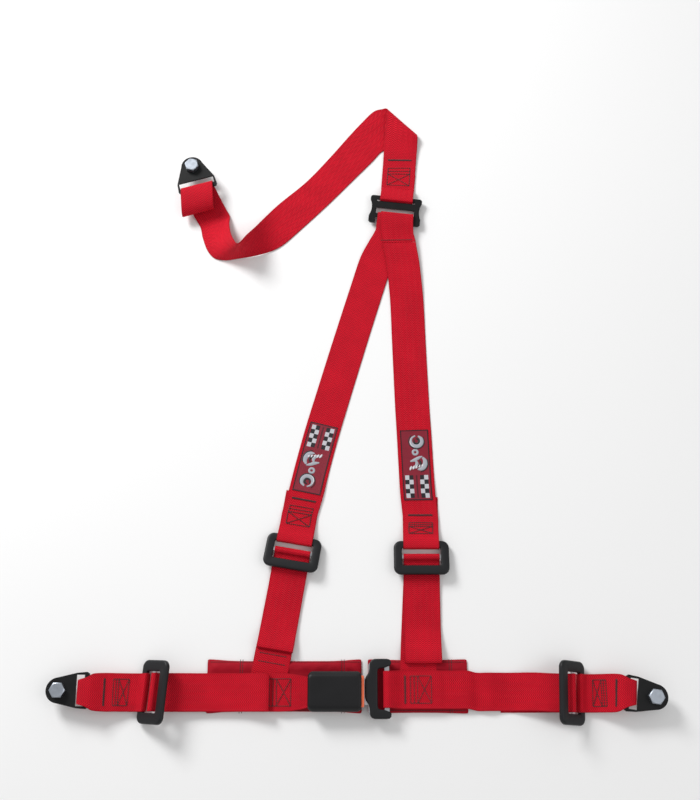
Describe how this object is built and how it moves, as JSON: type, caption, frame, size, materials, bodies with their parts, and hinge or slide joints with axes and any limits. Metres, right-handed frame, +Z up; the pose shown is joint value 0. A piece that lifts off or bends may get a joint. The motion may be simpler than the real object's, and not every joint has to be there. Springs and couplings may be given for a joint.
{
  "type": "three-point racing harness",
  "caption": "Red webbing racing harness with shoulder and lap straps, push-button buckle, sliding adjusters and bolt-on anchor brackets.",
  "frame": {"origin": "middle of the harness as it lies, on the surface it lies on", "axes": "+X to the wearer's-view right along the lap strap, +Y up the shoulder straps towards the rear strap, +Z up from the surface"},
  "size_m": [0.7954, 0.9062, 0.0464],
  "materials": {
    "red_webbing": "woven polyester",
    "thread": "bonded sewing thread",
    "woven_label": "woven label",
    "pad_cloth": "padded woven cloth",
    "black_paint": "satin black",
    "zinc_plate": "bright zinc plate",
    "plain_steel": "plated steel",
    "black_plastic": "satin moulded plastic",
    "coral_plastic": "satin moulded plastic",
    "nylon": "natural nylon"
  },
  "bodies": {
    "buckle_side": {"buckle_cover": "black_plastic", "buckle_base": "black_plastic", "buckle_frame": "plain_steel", "latch_spring": "plain_steel", "ejector_spring": "plain_steel", "buckle_screws": "plain_steel", "lap_strap_left": "red_webbing", "stitching_buckle": "thread", "lap_pad_left": "pad_cloth", "shoulder_end_left": "red_webbing"},
    "latch": {"latch_plate": "plain_steel"},
    "button": {"press_button": "coral_plastic"},
    "ejector": {"ejector": "nylon"},
    "tongue_side": {"tongue_plate": "plain_steel", "tongue_grip": "black_plastic", "lap_strap_right": "red_webbing", "stitching_tongue": "thread", "lap_pad_right": "pad_cloth", "shoulder_end_right": "red_webbing"},
    "lap_adjuster_left": {"adjuster_core_lap_left": "plain_steel", "adjuster_cover_lap_left": "black_plastic", "lap_loop_left": "red_webbing", "lap_end_left": "red_webbing", "stitching_lap_end_left": "thread"},
    "lap_adjuster_right": {"adjuster_core_lap_right": "plain_steel", "adjuster_cover_lap_right": "black_plastic", "lap_loop_right": "red_webbing", "lap_end_right": "red_webbing", "stitching_lap_end_right": "thread"},
    "anchor_left": {"bracket_left": "black_paint"},
    "anchor_right": {"bracket_right": "black_paint"},
    "anchor_rear": {"bracket_rear": "black_paint"},
    "anchor_bolt_left": {"bolt_left": "zinc_plate", "retainer_left": "nylon"},
    "anchor_bolt_right": {"bolt_right": "zinc_plate", "retainer_right": "nylon"},
    "anchor_bolt_rear": {"bolt_rear": "zinc_plate", "retainer_rear": "nylon"},
    "lower_left": {"shoulder_lower_left": "red_webbing"},
    "root_right": {"shoulder_root_right": "red_webbing"},
    "lower_right": {"shoulder_lower_right": "red_webbing"},
    "upper_left": {"adjuster_core_shoulder_left": "plain_steel", "adjuster_cover_shoulder_left": "black_plastic", "shoulder_loop_left": "red_webbing", "shoulder_strap_left": "red_webbing", "yoke_loop_right": "red_webbing", "stitching_shoulder_left": "thread", "label_left": "woven_label"},
    "upper_right": {"adjuster_core_shoulder_right": "plain_steel", "adjuster_cover_shoulder_right": "black_plastic", "shoulder_loop_right": "red_webbing", "shoulder_strap_right": "red_webbing", "stitching_shoulder_right": "thread", "label_right": "woven_label"},
    "yoke": {"yoke_plate": "black_paint"},
    "rear": {"rear_strap": "red_webbing", "stitching_rear": "thread"}
  },
  "joints": [
    {"name": "tongue_release", "type": "slide", "parent": "buckle_side", "child": "tongue_side", "axis": [1, 0, 0], "range_m": [0, 0.045]},
    {"name": "button_press", "type": "slide", "parent": "buckle_side", "child": "button", "axis": [-1, 0, 0], "range_m": [0, 0.004]},
    {"name": "latch_lift", "type": "slide", "parent": "buckle_side", "child": "latch", "axis": [0, 0, 1], "range_m": [0, 0.0055], "deforming": ["latch_spring"]},
    {"name": "ejector_push", "type": "slide", "parent": "buckle_side", "child": "ejector", "axis": [1, 0, 0], "range_m": [0, 0.0072]},
    {"name": "lap_left_adjust", "type": "slide", "parent": "buckle_side", "child": "lap_adjuster_left", "axis": [-1, 0, 0], "range_m": [0, 0.04]},
    {"name": "lap_right_adjust", "type": "slide", "parent": "tongue_side", "child": "lap_adjuster_right", "axis": [1, 0, 0], "range_m": [0, 0.04]},
    {"name": "anchor_left_swing", "type": "hinge", "parent": "lap_adjuster_left", "child": "anchor_left", "pos_m": [-0.3456, -0.40986, 0.0185], "axis": [0, 1, 0], "range_deg": [-45, 70]},
    {"name": "anchor_right_swing", "type": "hinge", "parent": "lap_adjuster_right", "child": "anchor_right", "pos_m": [0.34595, -0.41285, 0.0185], "axis": [-0.1392, -0.9903, 0], "range_deg": [-45, 70]},
    {"name": "anchor_left_turn", "type": "hinge", "parent": "anchor_left", "child": "anchor_bolt_left", "pos_m": [-0.3816, -0.40986, 0.0185], "axis": [0, 0, 1], "continuous": true},
    {"name": "anchor_right_turn", "type": "hinge", "parent": "anchor_right", "child": "anchor_bolt_right", "pos_m": [0.3816, -0.41786, 0.0185], "axis": [0, 0, 1], "continuous": true},
    {"name": "shoulder_fold", "type": "hinge", "parent": "buckle_side", "child": "lower_left", "pos_m": [-0.112, -0.38386, 0.00565], "axis": [1, 0, 0], "range_deg": [0, 90]},
    {"name": "shoulder_fold_right", "type": "hinge", "parent": "tongue_side", "child": "root_right", "pos_m": [0.08, -0.38386, 0.00565], "axis": [1, 0, 0], "range_deg": [0, 90]},
    {"name": "shoulder_sway_right", "type": "hinge", "parent": "root_right", "child": "lower_right", "pos_m": [0.08, -0.36786, 0.00495], "axis": [0, 0, 1], "range_deg": [0, 5]},
    {"name": "shoulder_adjust", "type": "slide", "parent": "lower_left", "child": "upper_left", "axis": [0, 1, 0], "range_m": [0, 0.04]},
    {"name": "shoulder_adjust_right", "type": "slide", "parent": "lower_right", "child": "upper_right", "axis": [0, 1, 0], "range_m": [0, 0.04]},
    {"name": "yoke_swing", "type": "hinge", "parent": "upper_left", "child": "yoke", "pos_m": [0.05717, 0.2662, 0.0068], "axis": [0.9936, -0.1132, 0], "range_deg": [0, 60]},
    {"name": "rear_fold", "type": "hinge", "parent": "yoke", "child": "rear", "pos_m": [0.06045, 0.29502, 0.0068], "axis": [0.9936, -0.1132, 0], "range_deg": [0, 90]},
    {"name": "anchor_rear_swing", "type": "hinge", "parent": "rear", "child": "anchor_rear", "pos_m": [-0.23278, 0.30754, 0.0185], "axis": [0.9613, 0.2756, 0], "range_deg": [-20, 60]},
    {"name": "anchor_rear_turn", "type": "hinge", "parent": "anchor_rear", "child": "anchor_bolt_rear", "pos_m": [-0.2427, 0.34214, 0.0185], "axis": [0, 0, 1], "continuous": true}
  ],
  "couplings": [
    {"joint": "button_press", "follows": "tongue_release", "ratio": 0.086667},
    {"joint": "latch_lift", "follows": "tongue_release", "ratio": 0.122},
    {"joint": "ejector_push", "follows": "tongue_release", "ratio": 0.16},
    {"joint": "shoulder_sway_right", "follows": "tongue_release", "rad_per_m": 1.6851},
    {"joint": "shoulder_fold_right", "follows": "shoulder_fold", "ratio": 1},
    {"joint": "shoulder_adjust_right", "follows": "shoulder_adjust", "ratio": 1}
  ]
}
